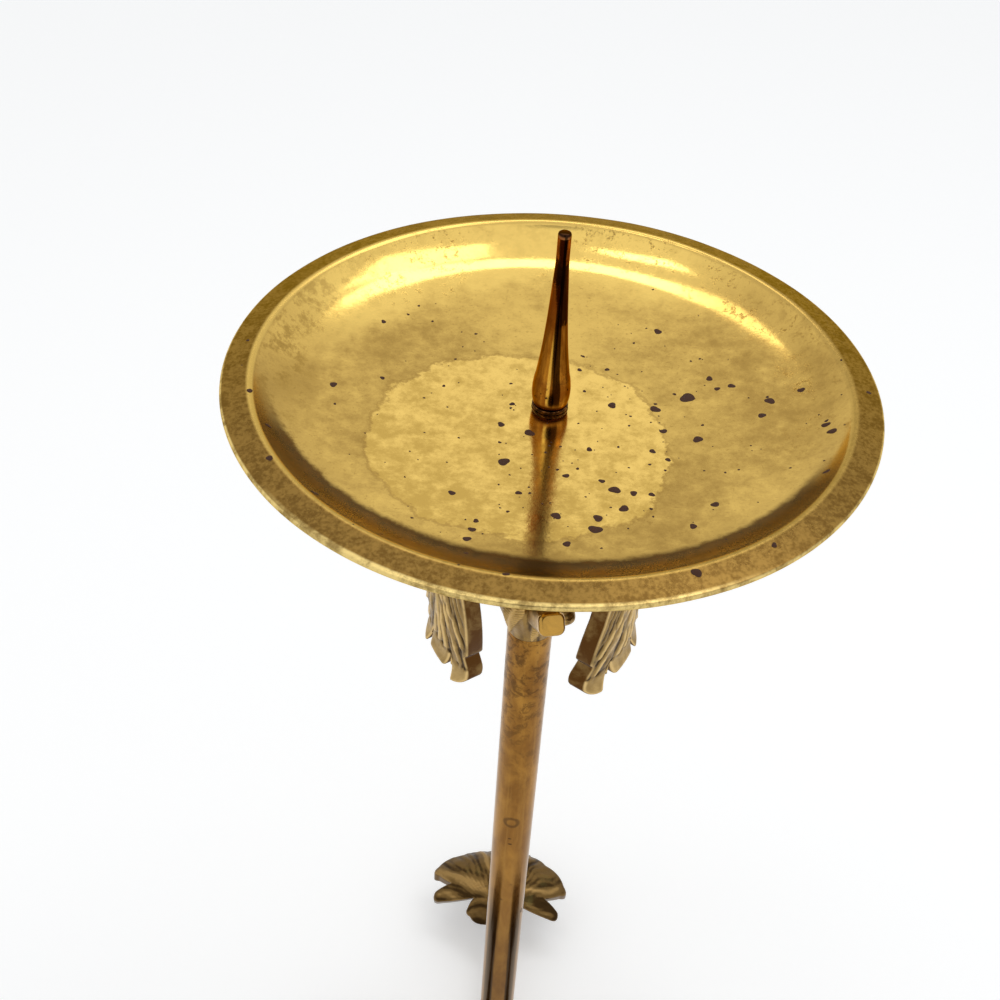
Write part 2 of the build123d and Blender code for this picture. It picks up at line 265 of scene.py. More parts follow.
def pan_material():
    s = Shader("pan_brass", Metallic=1.0)
    broad = s.noise(34, 3, 0.5)
    mottle = s.noise(4.2, 9, 0.72)
    fleck = s.noise(0.9, 4, 0.65)
    outer = s.far_from((0, 0, 0))

    def turned_to(x, y):
        return s.math("DIVIDE", s.along((x, y, 0)), outer)

    # The pan's colour is darker towards the near left and lighter towards the far right
    far_right_share = s.math("DIVIDE", s.along((0.42, 0.91, 0)), 75)
    tone = s.plus(s.times(broad, 0.5), s.times(mottle, 0.5), s.times(far_right_share, 0.09))
    s.colour = s.mix(s.span(tone, 0.33, 0.67), rgb(164, 131, 66), rgb(222, 186, 100))
    s.paint(s.span(fleck, 0.57, 0.70, 0.0, 0.4), rgb(146, 112, 50))
    # Brighter mark of a candle, off the middle, with an uneven and slightly darker edge
    ragged = s.swing(s.noise(9, 6, 0.7), 13)
    mark_edge = s.plus(s.far_from((-7, -15, 0)), ragged)
    mark = s.span(mark_edge, 35.4, 34.4)
    mark_tone = s.plus(mottle, s.times(far_right_share, 0.2))
    mark_colour = s.mix(s.span(mark_tone, 0.30, 0.62), rgb(198, 163, 82), rgb(240, 203, 112))
    mark_colour = s.mix(s.span(fleck, 0.60, 0.72, 0.0, 0.4), mark_colour, rgb(176, 140, 68))
    s.paint(mark, mark_colour)
    line = s.times(s.span(mark_edge, 34.0, 34.8), s.span(mark_edge, 35.9, 35.1))
    s.paint(s.times(line, 0.45), rgb(150, 116, 56))
    # A painted highlight on the far wall, where the lamps' reflections fall; the wall is pitted in patches
    # there and on the right
    creep = s.plus(outer, s.swing(s.noise(12, 6, 0.7), 26))
    far_wall_highlight = s.times(s.span(creep, 46, 58), s.span(turned_to(-0.26, 0.97), 0.35, 0.8, 0.0, 0.8))
    s.paint(far_wall_highlight, rgb(244, 208, 114))
    patch = s.times(s.span(s.noise(15, 4, 0.6), 0.42, 0.58), s.span(turned_to(0.5, 0.87), -0.1, 0.5))
    pitted = s.times(s.span(s.noise(1.6, 6, 0.8), 0.53, 0.62), s.span(creep, 44, 58), patch)
    s.paint(s.times(pitted, 0.75), rgb(134, 99, 38))
    # Tarnish creeps down the wall in uneven runs
    wall = s.times(s.span(creep, 54, 64), s.span(mottle, 0.44, 0.60))
    wall = s.times(wall, s.span(turned_to(0.62, 0.78), -0.55, 0.3, 0.75, 0.15))
    s.paint(wall, rgb(142, 109, 48))
    # The near wall is painted dark brown, lowest at the front: a painted dark reflection of the dark place
    # behind the camera
    near = turned_to(-0.087, -0.996)
    low_edge = s.plus(outer, s.swing(mottle, 4), s.times(near, 12))
    brown = s.times(s.span(low_edge, 66.6, 69.0), s.span(near, 0.2, 0.48))
    s.paint(brown, s.mix(s.span(mottle, 0.4, 0.6), rgb(60, 34, 6), rgb(80, 49, 13)))
    rim = s.span(outer, 68.0, 69.2)
    rim_colour = s.mix(s.span(s.plus(mottle, fleck), 0.82, 1.18), rgb(110, 82, 38), rgb(142, 111, 56))
    s.paint(rim, rim_colour)
    # Bright lines along both edges of the rim: partly wear, partly painted highlight, stronger where the
    # edges face the lamps and the camera
    inner_edge_wear_and_highlight = s.times(s.span(outer, 68.2, 68.7), s.span(outer, 70.3, 69.4))
    inner_edge_wear_and_highlight = s.times(inner_edge_wear_and_highlight, s.span(turned_to(-0.7, 0.72), -0.6, 0.8, 0.35, 0.85))
    s.paint(inner_edge_wear_and_highlight, rgb(212, 178, 96))
    worn = s.times(s.span(outer, 74.5, 75.1), s.span(turned_to(-0.17, -0.98), 0.7, 0.95))
    edge = s.math("MAXIMUM", s.span(outer, 75.3, 75.7), worn)
    s.paint(s.times(edge, s.span(mottle, 0.38, 0.6, 0.25, 1.0)), rgb(232, 205, 132))
    rough = s.plus(s.span(tone, 0.36, 0.64, 0.17, 0.10), s.times(mark, -0.02))
    rough = s.plus(rough, s.times(s.plus(rim, brown, clamp=True), 0.12), s.times(pitted, 0.12))
    s.into(Base_Color=s.colour, Roughness=s.plus(rough, s.times(wall, 0.1), clamp=True))
    s.into(Specular_Tint=s.mix(rim, (1.0, 0.92, 0.7, 1.0), (0.8, 0.65, 0.4, 1.0)))
    under = s.bump(s.noise(7, 3, 0.5), 0.04)
    s.into(Normal=s.bump(s.plus(s.math("SUBTRACT", fleck, pitted), mottle), 0.009, under=under))
    return s.material


def spot_material():
    s = Shader("corrosion_spot", Metallic=0.0, Specular_IOR_Level=0.25)
    tone = s.noise(0.5, 4, 0.6)
    s.into(Base_Color=s.mix(tone, rgb(34, 18, 12), rgb(82, 46, 24)))
    s.into(Roughness=s.span(tone, 0.2, 0.8, 0.55, 0.85), Normal=s.bump(tone, 0.06))
    return s.material


def pricket_material():
    s = Shader("pricket_brass", Metallic=1.0)
    height = s.height()
    streak = s.noise(1.6, 5, 0.6, stretch=(1, 1, 0.12))
    cloud = s.noise(6, 4, 0.6)
    s.colour = s.mix(s.span(streak, 0.35, 0.65), rgb(150, 106, 54), rgb(196, 152, 88))
    s.paint(s.span(cloud, 0.45, 0.7), rgb(132, 86, 44))
    # On the side facing the camera: a painted dark reflection stripe of the dark place behind the camera, a
    # painted highlight stripe beside it, and painted dark edges at both sides
    outer = s.far_from((0, 0, 0))
    front = s.span(s.math("DIVIDE", s.along((0, -1, 0)), outer), 0.1, 0.4)
    across = s.plus(s.math("DIVIDE", s.along((1, 0, 0)), outer), s.swing(streak, 0.16))
    sides = s.math("MAXIMUM", s.span(across, -0.45, -0.72), s.span(across, 0.66, 0.82))
    s.paint(s.times(sides, front, 0.6), rgb(92, 54, 22))
    dark_reflection_stripe = s.times(s.span(across, -0.06, 0.04), s.span(across, 0.46, 0.38))
    dark_reflection_stripe = s.times(dark_reflection_stripe, front, s.span(height, 318.6, 320.4))
    s.paint(s.times(dark_reflection_stripe, 0.92), rgb(36, 15, 5))
    highlight_stripe = s.times(s.span(across, -0.34, -0.28), s.span(across, -0.10, -0.16))
    highlight_stripe = s.times(highlight_stripe, front, s.span(height, 341, 333))
    s.paint(s.times(highlight_stripe, s.span(height, 318.8, 321, 0.0, 0.85)), rgb(250, 226, 164))
    # The upper part is red brown from heat, with a sooty band that has run down one side
    ragged = s.swing(s.noise(1.8, 6, 0.7), 9)
    heated = s.plus(height, ragged)
    s.paint(s.times(s.span(heated, 332, 347, 0.0, 0.85), s.math("SUBTRACT", 1.0, dark_reflection_stripe)), rgb(134, 78, 42))
    run = s.times(s.span(s.along((0.75, -0.66, 0)), 1.0, 2.2), 10)
    soot = s.times(s.span(s.plus(heated, run), 349.6, 350.8), s.span(heated, 356.6, 355.4))
    s.paint(s.times(soot, 0.9), rgb(30, 12, 6))
    tip = s.span(s.plus(height, s.times(cloud, 0.8)), 362.3, 362.8)
    s.paint(tip, rgb(46, 28, 18))
    foot = s.span(s.math("SUBTRACT", height, s.times(cloud, 1.2)), 318.9, 318.0)
    s.paint(foot, rgb(64, 34, 16))
    turned = s.noise(0.28, 2, 0.5, stretch=(0.05, 0.05, 1))
    s.into(Base_Color=s.colour, Roughness=s.plus(s.span(streak, 0.3, 0.7, 0.1, 0.04), s.times(soot, 0.1)))
    s.into(Specular_Tint=(0.8, 0.55, 0.3, 1.0), Normal=s.bump(turned, 0.003))
    return s.material


def ring_material():
    s = Shader("ring_brass", Metallic=1.0)
    tone = s.noise(1.2, 5, 0.65)
    s.into(Base_Color=s.mix(s.span(tone, 0.4, 0.7), rgb(46, 26, 14), rgb(112, 72, 36)))
    s.into(Roughness=s.span(tone, 0.3, 0.7, 0.5, 0.25), Normal=s.bump(tone, 0.03))
    return s.material


def on_stem(azimuth, z, stretch=1):
    """A place on the tube's outside, for a mark there."""
    a = radians(azimuth)
    return (STEM_RADIUS * cos(a), STEM_RADIUS * sin(a), z * stretch)


def stem_material():
    s = Shader("stem_brass", Metallic=1.0)
    draw = s.noise(1.3, 4, 0.55, stretch=(1, 1, 0.03))
    cloud = s.noise(9, 6, 0.62, 0.4, stretch=(1, 1, 0.45))
    blotch = s.noise(3.2, 6, 0.7, 0.8)
    s.colour = s.mix(s.span(cloud, 0.34, 0.66), rgb(130, 87, 34), rgb(170, 122, 52))
    s.paint(s.times(s.span(draw, 0.5, 0.75), 0.4), rgb(174, 130, 62))
    # Tarnish is heavier towards the capital
    upper = s.times(s.span(s.height(), 150, 236), s.span(blotch, 0.46, 0.62))
    s.paint(s.times(upper, 0.75), rgb(84, 54, 20))
    # Darker towards the bottom: painted dark reflection of the feet and the shadowed floor
    s.paint(s.span(s.height(), 170, 60, 0.0, 0.4), rgb(92, 62, 28))
    # Dark streaks low on the front, at two narrow facings: painted dark reflections of the front feet
    for way in ((-0.67, -0.74, 0), (0.62, -0.79, 0)):
        facing = s.math("DIVIDE", s.along(way), STEM_RADIUS)
        ragged = s.swing(draw, 0.06)
        streak = s.times(s.span(s.plus(facing, ragged), 0.94, 0.97), s.span(s.height(), 124, 92))
        s.paint(s.times(streak, 0.85), rgb(44, 26, 8))
    # A ring left by something that stuck to the lacquer, and small nicks under it
    ring_gap = s.far_from(on_stem(263, 157), (1, 1, 1))
    ring = s.math("ABSOLUTE", s.math("SUBTRACT", ring_gap, s.plus(1.7, s.times(blotch, 0.8))))
    ring = s.span(ring, 1.0, 0.2, 0.0, 0.55)
    s.paint(ring, rgb(56, 34, 14))
    nicks = ((262, 148.3, 0.5), (264, 145.4, 0.7), (252, 112.5, 0.6), (238, 87, 0.8), (279, 122, 0.4))
    for azimuth, z, size in nicks:
        gap = s.far_from(on_stem(azimuth, z, 2), (1, 1, 2))
        nick = s.span(s.plus(gap, s.times(blotch, 0.7)), size + 0.5, size + 0.25)
        s.paint(s.times(nick, 0.85), rgb(46, 27, 11))
    # Flakes missing from the lacquer
    flake = s.node("TexVoronoi", {"Vector": s.stretch((1, 1, 0.55)), "Scale": 1 / 9.5})
    pick = s.node("SeparateColor", {0: flake.outputs["Color"]})
    size = s.plus(flake.outputs["Distance"], s.times(blotch, 0.12))
    mark = s.times(s.span(size, 0.155, 0.135), s.span(pick.outputs[1], 0.66, 0.7))
    s.paint(s.times(mark, 0.8), rgb(58, 34, 14))
    rough = s.plus(s.span(cloud, 0.3, 0.7, 0.13, 0.2), s.times(upper, 0.16))
    s.into(Base_Color=s.colour, Roughness=s.plus(rough, s.times(mark, 0.2)))
    under = s.bump(draw, 0.012)
    s.into(Normal=s.bump(blotch, 0.02, under=under))
    s.into(Specular_Tint=(0.92, 0.86, 0.78, 1.0), Coat_Weight=0.06, Coat_Roughness=0.12)
    return s.material


def cast_material(name, low, mid, high, edge):
    """Cast brass: dark in its hollows, worn on its ridges and veins, filed smooth on its edges; the stored
    relief also carries painted highlight and shade.
    """
    s = Shader(name, Metallic=1.0)
    relief, filed, veined = s.stored("relief"), s.stored("filed"), s.stored("veined")
    cloud = s.noise(6.5, 6, 0.65, 0.5)
    pits = s.noise(0.8, 5, 0.7)
    turns = s.math("COSINE", s.times(s.stored("fan"), 2 * pi))
    broken = s.span(s.noise(3, 3, 0.6), 0.3, 0.62, 0.25, 1.0)
    vein = s.times(turns, broken, veined)
    # Lighter on ridges and veins from wear, and from the painted highlight and shade that the stored relief
    # carries
    worn = s.plus(relief, s.swing(cloud, 0.9), s.times(vein, 0.42))
    s.colour = s.mix(s.span(worn, -0.15, 0.32), low, mid)
    s.paint(s.span(worn, 0.38, 0.95), high)
    green = s.span(s.noise(11, 4, 0.6), 0.56, 0.72)
    s.paint(s.times(green, 0.35), rgb(96, 90, 52))
    edge_tone = s.mix(s.span(cloud, 0.42, 0.70, 0.0, 0.5), edge, mid)
    s.paint(filed, edge_tone)
    rough = s.blend(filed, s.span(pits, 0.3, 0.7, 0.46, 0.3), s.span(cloud, 0.3, 0.7, 0.14, 0.24))
    s.into(Base_Color=s.colour, Roughness=rough)
    depth = s.times(pits, s.math("SUBTRACT", 1.0, s.times(filed, 0.8)))
    s.into(Normal=s.bump(depth, 0.07, under=s.bump(vein, 0.06)))
    return s.material


def steel_material():
    s = Shader("fixing_steel", Metallic=1.0)
    tone = s.noise(3.0, 5, 0.65)
    fine = s.noise(0.5, 3, 0.6, stretch=(1, 1, 0.2))
    s.colour = s.mix(s.span(tone, 0.35, 0.7), rgb(150, 148, 142), rgb(192, 190, 186))
    s.paint(s.span(tone, 0.62, 0.8), rgb(120, 84, 54))
    s.into(Base_Color=s.colour, Roughness=s.span(fine, 0.3, 0.7, 0.28, 0.42), Normal=s.bump(fine, 0.01))
    return s.material


PAN = pan_material()
SPOT = spot_material()
PRICKET = pricket_material()
RING = ring_material()
STEM = stem_material()
# The leaves' filed edges are coloured dark: painted shade on their side faces
LEAF = cast_material("leaf_brass", rgb(72, 53, 28), rgb(150, 122, 74), rgb(214, 182, 122), rgb(82, 52, 20))
FOOT = cast_material("foot_brass", rgb(56, 40, 20), rgb(106, 82, 46), rgb(150, 120, 72), rgb(104, 78, 40))
CORE = cast_material("capital_brass", rgb(62, 42, 18), rgb(152, 120, 64), rgb(200, 164, 98),
                     rgb(192, 148, 70))
STEEL = steel_material()


# Drip pan: spun sheet with slight unevenness from its making

def tangent_arc(start, way, end, steps):
    """Points of the arc that leaves start along way and ends at end, and its direction there."""
    start, way, end = np.array(start), np.array(way), np.array(end)
    side = np.array([-way[1], way[0]])
    chord = end - start
    bend = chord @ chord / (2 * (chord @ side))
    turn = 2 * atan2(chord @ side, chord @ way)
    a = np.linspace(0, turn, steps + 1)[1:, None]
    points = start + bend * (np.sin(a) * way + (1 - np.cos(a)) * side)
    return points, cos(turn) * way + sin(turn) * side


def evened(path, step, loop=False):
    """The same path with points an even step apart. A loop's last point, which is its first, is left out."""
    run = np.concatenate([[0], np.cumsum(norm(np.diff(path, axis=0), axis=1))])
    at = np.arange(0, run[-1], step) if loop else np.linspace(0, run[-1], int(run[-1] / step))
    return np.stack([np.interp(at, run, line) for line in path.T], 1)


def smoothed(line, reach):
    """A row of values, each averaged with its neighbours this far each way."""
    width = 2 * reach + 1
    return np.convolve(np.pad(line, reach, mode="edge"), np.ones(width) / width, "valid")


def pan_top():
    """Radius and height along the pan's upper side, with its corners eased."""
    flat_end, floor_end = (PAN_FLAT, PAN_FLOOR), (PAN_WALL, PAN_FLOOR + DISH)
    dish, way = tangent_arc(flat_end, (1.0, 0.0), floor_end, 40)
    wall, _ = tangent_arc(floor_end, way, (RIM_INNER, RIM_TOP), 40)
    path = np.vstack([[(ROD_HOLE, PAN_FLOOR), flat_end], dish, wall, [(PAN_RADIUS, RIM_OUTER_TOP)]])
    path = evened(path, 0.25)
    eased = np.stack([smoothed(line, 4) for line in path.T], 1)
    eased[0], eased[-1] = path[0], path[-1]
    return eased


PAN_TOP = pan_top()


def unevenness(x, y):
    swell = np.clip((np.hypot(x, y) - 12) / 50, 0, 1)
    return swell * (0.10 * wave(x, y, 0, 11, 70) + 0.03 * wave(x, y, 0, 12, 22))


def pan_height(x, y):
    """Height of the pan's upper side."""
    return np.interp(np.hypot(x, y), PAN_TOP[:, 0], PAN_TOP[:, 1]) + unevenness(x, y)


def pan_piece():
    along = np.gradient(PAN_TOP, axis=0)
    along /= norm(along, axis=1)[:, None]
    below = PAN_TOP + SHEET * np.stack([along[:, 1], -along[:, 0]], 1)
    # Rows stand closer on the wall and the rim than on the floor
    number = np.arange(len(PAN_TOP))
    keep = np.where(PAN_TOP[:, 0] < PAN_WALL - 4, number % 8 == 0, number % 2 == 0)
    keep &= norm(PAN_TOP - PAN_TOP[-1], axis=1) > RIM_EDGE
    outward, down = along[-1], below[-1] - PAN_TOP[-1]
    middle = (PAN_TOP[-1] + below[-1]) / 2 - RIM_EDGE * outward
    a = np.linspace(0, pi, 13)[:, None]
    edge = middle - np.cos(a) * down / 2 + RIM_EDGE * np.sin(a) * outward
    profile = np.vstack([PAN_TOP[keep], edge, below[keep][::-1]])

    def spun(r, z, a):
        oval = 0.12 * np.sin(2 * a + 0.6) * np.clip((r - 55) / 20, 0, 1)
        return r + oval, z + unevenness(r * np.cos(a), r * np.sin(a))

    piece("drip_pan_sheet", *lathe(profile, 320, spun, closed=True), PAN, "drip_pan", "pan_brass")


def spot_piece():
    """Corrosion spots: the larger ones at their places in the photograph, and a scatter of small ones."""
    large = [
        (33.0, 5.3, 1.75), (25.0, 0.5, 1.2), (-10.3, -22.1, 1.3), (-4.7, -11.1, 1.15), (9.5, -44.5, 1.4),
        (14.2, -30.2, 1.25), (14.8, 1.2, 1.05), (34.1, -10.8, 1.15), (52.2, 3.2, 1.15), (1.3, -40.3, 1.1),
        (10.2, -40.5, 1.1), (15.9, -36.8, 1.1), (27.5, 32.2, 1.0), (-51.2, 0.4, 0.9), (43.9, 9.8, 0.85),
        (35.5, -35.1, 0.9), (-11.3, -8.5, 0.85), (38.9, 12.9, 0.85), (3.4, -50.1, 0.9), (49.7, -2.2, 0.9),
        (18.3, -31.2, 0.85), (26.4, -7.9, 0.85), (30.1, -42.9, 0.85), (-16.3, -47.2, 0.8),
        (-17.2, -50.7, 0.85), (23.4, -15.6, 0.75), (3.6, -25.9, 0.75), (22.2, -31.5, 0.7),
        (-42.1, 28.2, 0.65), (-15.6, -44.0, 0.65),
        (-21.2, -34.7, 0.8), (-6.8, -32.9, 0.7), (9.0, -16.0, 0.7), (26.7, -18.6, 0.65), (11.5, -27.2, 0.7),
        (-40.2, 5.8, 0.6), (14.1, 15.8, 0.6), (7.3, 15.0, 0.6), (-8.9, -0.4, 0.65), (40.4, 8.8, 0.7),
        (62.7, -9.6, 0.85), (63.4, -13.0, 0.95), (59.7, 5.9, 0.8), (27.7, -65.3, 1.0), (-59.3, -38.0, 0.8),
        (-67.5, -15.0, 0.7), (59.4, -28.7, 0.75), (-48.8, -45.8, 0.7), (4.1, -66.0, 0.8), (-9.0, -68.5, 0.7),
        (73.0, -2.0, 0.6), (-62.0, -24.0, 0.55), (44.0, -56.0, 0.6), (-71.5, 5.0, 0.45),
    ]
    rng = np.random.default_rng(5)
    small = []
    while len(small) < 170:
        x, y = rng.normal(10, 30), rng.normal(-14, 26)
        if 7 < hypot(x, y) < PAN_RADIUS - 2:
            small.append((x, y, 0.16 + 0.3 * rng.random() ** 2))
    verts, faces, lift = [], [], 0.004
    for x, y, size in large + small:
        around, rings = 18, ((1.0, 0.0), (0.8, 0.05), (0.45, 0.09))
        angle = np.arange(around) * 2 * pi / around
        lobes = 1 + 0.13 * np.sin(2 * angle + rng.uniform(0, 6))
        lobes = lobes + 0.1 * np.sin(3 * angle + rng.uniform(0, 6))
        first = len(verts)
        for share, rise in rings:
            for a, w in zip(angle, lobes):
                px, py = x + size * share * w * cos(a), y + size * share * w * sin(a)
                verts.append((px, py, pan_height(px, py) + lift + rise * min(1.0, size)))
        verts.append((x, y, pan_height(x, y) + lift + 0.1 * min(1.0, size)))
        for k in range(len(rings) - 1):
            faces += ring_faces(first + k * around, first + (k + 1) * around, around)
        last = first + (len(rings) - 1) * around
        faces += [(last + i, last + (i + 1) % around, len(verts) - 1) for i in range(around)]
    piece("pan_spots", verts, faces, SPOT, None, "pan_brass")


# Pricket, its ring, the tube, the rod and its fixings

def pricket_piece():
    body = [(2.6, 0.0), (4.0, 0.0), (4.26, 0.9), (4.48, 2.2), (4.55, 3.8), (4.5, 5.2), (4.28, 7.0),
            (3.95, 8.6), (3.62, 11.0), (3.3, 13.4), (2.98, 16.2), (2.72, 19.1), (2.4, 23.0), (2.14, 27.0),
            (1.9, 31.0), (1.7, 34.6), (1.56, 37.0), (1.5, 38.6), (1.5, 44.5), (1.36, 44.86), (1.1, 45.0),
            (0.05, 45.0)]
    body = np.array([(r, PRICKET_FOOT + h) for r, h in body])
    hole = np.array([(0.05, PRICKET_FOOT + 10.5), (ROD_HOLE, PRICKET_FOOT + 10.4), (ROD_HOLE, PRICKET_FOOT)])

    def turned(r, z, a):
        ring = 0.03 * np.exp(-((z - PRICKET_FOOT - 8.4) / 0.3) ** 2)
        return r - ring * (r > 3), z

    profile = np.vstack([filled(hole, 1.0), filled(body, 0.7)])
    piece("pricket_spike", *lathe(profile, 96, turned), PRICKET, "pricket", "pricket_brass", "pricket_spike")


def ring_profile(inner, outer, low, high, radii, steps):
    """The outline of a plain ring, from a point of its bore all round and back to it."""
    middle = (low + high) / 2
    return rounded([(inner, middle), (inner, low), (outer, low), (outer, high), (inner, high),
                    (inner, middle + 0.01)], radii, steps)


def ring_piece():
    profile = ring_profile(ROD_HOLE, PRICKET_RING, PAN_FLOOR, PRICKET_FOOT, [0.1, 0.3, 0.35, 0.1], 5)
    piece("pricket_ring_dark", *lathe(filled(profile, 0.4), 72, closed=True), RING, "pricket_washer",
          "ring_brass", "pricket_ring")


def stem_piece():
    inner = STEM_RADIUS - STEM_WALL
    profile = ring_profile(inner, STEM_RADIUS, HUB_TOP, STEM_TOP, [0.1, 0.25, 0.25, 0.1], 4)

    def drawn(r, z, a):
        return r * (1 + 0.0022 * np.sin(2 * a + z * 0.011) + 0.0012 * np.sin(3 * a - z * 0.02 + 1)), z

    piece("stem_tube_drawn", *lathe(filled(profile, 3.0), 128, drawn, closed=True), STEM, "stem_tube",
          "stem_brass")


def rod_piece():
    body = [(0.02, ROD_BOTTOM), (1.9, ROD_BOTTOM), (ROD_RADIUS, ROD_BOTTOM + 0.5)]
    body += [(ROD_RADIUS, h) for h in np.arange(ROD_BOTTOM + 0.6, 12.0, 0.1)]
    body += [(ROD_RADIUS, h) for h in np.arange(12.0, 310.0, 12.0)]
    body += [(ROD_RADIUS, h) for h in np.arange(310.0, ROD_TOP - 0.5, 0.1)]
    body += [(ROD_RADIUS, ROD_TOP - 0.5), (1.9, ROD_TOP), (0.02, ROD_TOP)]

    def threaded(r, z, a):
        turn = (z / THREAD_PITCH - a / (2 * pi)) % 1
        groove = 0.42 * np.clip(1.15 - 2.3 * np.abs(turn - 0.5), 0, 1)
        here = ((z < 11.5) | (z > 311)) & (r > 2.2)
        return r - groove * here, z

    piece("tie_rod_threaded", *lathe(body, 48, threaded), STEEL, "tie_rod", "fixing_steel")


def nut_piece():
    low, high, flats = NUT_BOTTOM, NUT_TOP, NUT_FLATS
    across = flats / cos(pi / 6) / 2
    middle = (low + high) / 2
    rows = [(ROD_HOLE, middle), (ROD_HOLE, low + 0.3), (2.9, low), (flats / 2 * 0.95, low),
            (across, low + 0.62), (across, high - 0.62), (flats / 2 * 0.95, high), (2.9, high),
            (ROD_HOLE, high - 0.3), (ROD_HOLE, middle + 0.05)]

    def hexed(r, z, a):
        side = (a + pi / 6) % (pi / 3) - pi / 6
        limit = flats / 2 / np.cos(side)
        return np.minimum(r, limit), z

    piece("base_nut_hex", *lathe(filled(np.array(rows), 0.35), 144, hexed, closed=True), STEEL, "base_nut",
          "fixing_steel")


def washer_piece():
    profile = ring_profile(ROD_HOLE, WASHER_RADIUS, NUT_TOP, HUB_BOTTOM, [0.05, 0.25, 0.25, 0.05], 4)
    piece("base_washer_plate", *lathe(filled(profile, 0.6), 72, closed=True), STEEL, "base_washer",
          "fixing_steel")


# Cast pieces

def cast_values(count, relief=0.4, filed=0.0, fan=0.0, veined=0.0):
    """Stored values of a cast mesh: how worn, with painted highlight and shade added to it on the leaves and
    feet, how filed, and the place and strength of its fine veins.
    """
    given = {"relief": relief, "filed": filed, "fan": fan, "veined": veined}
    return {key: np.broadcast_to(value, count).astype(float) for key, value in given.items()}


def turned_about(points, degrees):
    a = radians(degrees)
    x, y, z = np.asarray(points).T
    return np.stack([x * cos(a) - y * sin(a), x * sin(a) + y * cos(a), z], 1)


def cast_piece(node, mesh, material, degrees=0.0):
    """A cast piece from its points, faces and stored values, turned about the stem."""
    verts, faces, values = mesh
    verts = turned_about(verts, degrees)
    piece(f"{node}_cast", verts, faces, material, node, "cast_brass", attributes=values)


def hub_piece():
    spigot_end = HUB_TOP + SPIGOT_LENGTH
    corners = [(ROD_HOLE, 14), (ROD_HOLE, HUB_BOTTOM), (HUB_RADIUS, HUB_BOTTOM), (HUB_RADIUS, HUB_TOP),
               (SPIGOT_RADIUS, HUB_TOP), (SPIGOT_RADIUS, spigot_end), (ROD_HOLE, spigot_end),
               (ROD_HOLE, 14.1)]
    profile = rounded(corners, [0.1, 1.6, 1.6, 0.2, 0.4, 0.1], 6)

    def cast(r, z, a):
        x, y = r * np.cos(a), r * np.sin(a)
        outer = (r > 6).astype(float)
        ridge = np.exp(-((z - 9.6) / 0.7) ** 2) + np.exp(-((z - 17.4) / 0.7) ** 2)
        return r + outer * (0.10 * wave(x, y, z, 31, 7) - 0.35 * ridge * (r > 8)), z

    verts, faces = lathe(filled(profile, 0.7), 96, cast, closed=True)
    worn = 0.45 + 0.25 * wave(verts[:, 0], verts[:, 1], verts[:, 2], 32, 5)
    cast_piece("base_hub", (verts, faces, cast_values(len(verts), worn)), CORE)


# The swelling at the root of the front stub, on its right
BURL_AZIMUTH, BURL_HEIGHT, BURL_SIZE = 318, 12.5, 4.6


def capital_piece():
    heights = np.concatenate([np.arange(0, 30, 0.35), np.arange(30, 72.2, 0.7), [72.2]])
    spigot_end = STEM_TOP - SPIGOT_LENGTH
    rows = [(ROD_HOLE, STEM_TOP + 30), (ROD_HOLE, spigot_end), (SPIGOT_RADIUS, spigot_end),
            (SPIGOT_RADIUS, STEM_TOP)]
    levels = [0, 3, 7, 11, 15, 20, 26, 33, 40, 48, 56, 63, 68, 70.5, 72.2]
    radii = [6.25, 6.95, 8.35, 9.5, 10.0, 9.7, 8.75, 7.6, 7.0, 7.2, 8.6, 11.4, 14.9, 17.2, 19.0]
    smooth = smoothed(np.interp(heights, levels, radii), 6)
    smooth[0] = STEM_RADIUS
    rows += [(r, STEM_TOP + h) for r, h in zip(smooth, heights)]
    rows += [(SEAT_RADIUS, CAPITAL_TOP - 0.3), (SEAT_RADIUS - 0.3, CAPITAL_TOP), (ROD_HOLE, CAPITAL_TOP),
             (ROD_HOLE, STEM_TOP + 30.1)]
    keep = {}

    def carved(r, z, a):
        h = z - STEM_TOP
        outer = (h > 0.2) & (z < CAPITAL_TOP - 1.2) & (r > 5.5)
        bark = 0.55 * np.sin(17 * a + 1.6 * np.sin(h * 0.11) + 0.9 * np.sin(5 * a + h * 0.2))
        bark = bark + 0.4 * wave(r * np.cos(a), r * np.sin(a), z * 0.35, 41, 5)
        total = 0.30 * bark * np.clip((h - 2) / 6, 0, 1)
        deep = 0.35 * bark
        # Pointed, cross-cut leaflets laid down the core, tips at the tube
        for middle in range(0, 360, 60):
            lean = 0.5 * np.clip(1 - h / 15, 0, 1)
            side = (a - radians(middle) + lean + pi) % (2 * pi) - pi
            across = side * r
            half = 3.4 * np.clip((h - 0.6) / 12, 0, 1) ** 0.75 * np.clip((30 - h) / 10, 0, 1)
            share = np.abs(across) / np.maximum(half, 0.01)
            inside = np.clip((1 - share) / 0.18, 0, 1) * (half > 0.15)
            serrate = np.cos(2 * pi * (h - 0.35 * np.abs(across)) / 1.15)
            rib = np.exp(-(across / 0.42) ** 2)
            form = 0.62 + 0.24 * serrate * (1 - rib) + 0.25 * rib
            total = total * (1 - inside) + 0.62 * form * inside
            deep = deep * (1 - inside) + (1.25 * form - 0.35) * inside
        keep["relief"] = (deep + 0.3).ravel()
        beside = (a - radians(BURL_AZIMUTH) + pi) % (2 * pi) - pi
        burl = BURL_SIZE * np.exp(-(beside / 0.36) ** 2 - ((h - BURL_HEIGHT) / 5.0) ** 2)
        return r + (total + burl) * outer, z

    verts, faces = lathe(rows, 240, carved, closed=True)
    values = cast_values(len(verts), keep["relief"])
    piece("capital_core", verts, faces, CORE, "capital", "cast_brass", attributes=values)


